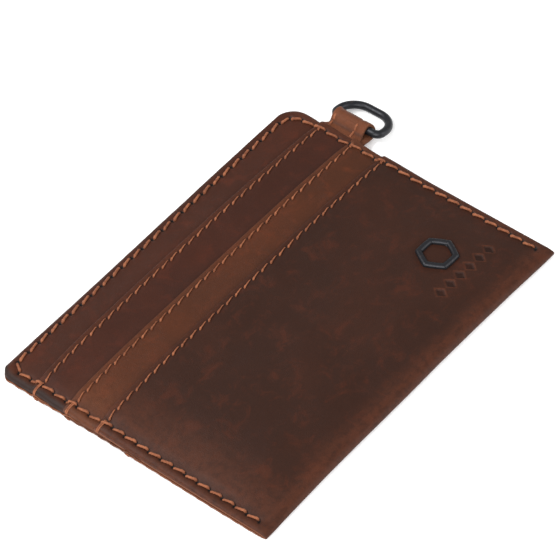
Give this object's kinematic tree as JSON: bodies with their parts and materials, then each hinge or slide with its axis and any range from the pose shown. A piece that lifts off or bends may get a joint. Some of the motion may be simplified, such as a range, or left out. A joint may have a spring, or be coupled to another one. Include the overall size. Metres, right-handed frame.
{
  "type": "card wallet",
  "caption": "Slim leather card wallet with stepped pockets on both faces, a central note pocket, contrast stitching, a metal badge and a swivelling D-ring on a leather tab.",
  "frame": {"origin": "centre of the leather body's outline on the plane the wallet rests on", "axes": "+X along the pocket mouths towards the D-ring, +Y from the fold to the open edge, +Z out of the front face"},
  "size_m": [0.1147, 0.078, 0.0059],
  "materials": {
    "leather_dark": "oiled pull-up, satin",
    "leather_brown": "oiled pull-up, satin",
    "leather_tan": "oiled pull-up, satin",
    "leather_tab": "oiled pull-up, satin",
    "lining": "fine twill",
    "thread": "waxed polyester thread",
    "black_metal": "gunmetal black, semi-gloss",
    "washer_steel": "plain"
  },
  "bodies": {
    "wallet": {"outer_wrap": "leather_dark", "front_base_panel": "leather_brown", "front_upper_pocket": "leather_brown", "front_middle_pocket": "leather_tan", "front_lining": "lining", "front_upper_tail": "lining", "front_middle_tail": "lining", "back_base_panel": "leather_brown", "back_upper_pocket": "leather_brown", "back_middle_pocket": "leather_tan", "back_lining": "lining", "back_upper_tail": "lining", "back_middle_tail": "lining", "ring_tab": "leather_tab", "badge": "black_metal", "badge_washer": "washer_steel", "perimeter_thread": "thread", "front_upper_thread": "thread", "front_middle_thread": "thread", "front_outer_thread": "thread", "back_upper_thread": "thread", "back_middle_thread": "thread", "back_outer_thread": "thread", "tab_thread": "thread", "front_floor_thread": "thread", "back_floor_thread": "thread"},
    "ring": {"d_ring": "black_metal"}
  },
  "joints": [
    {"name": "ring_swivel", "type": "hinge", "parent": "wallet", "child": "ring", "pos_m": [0.0555, 0.0223, 0.0025], "axis": [0, -1, 0], "range_deg": [-116, 140]}
  ]
}
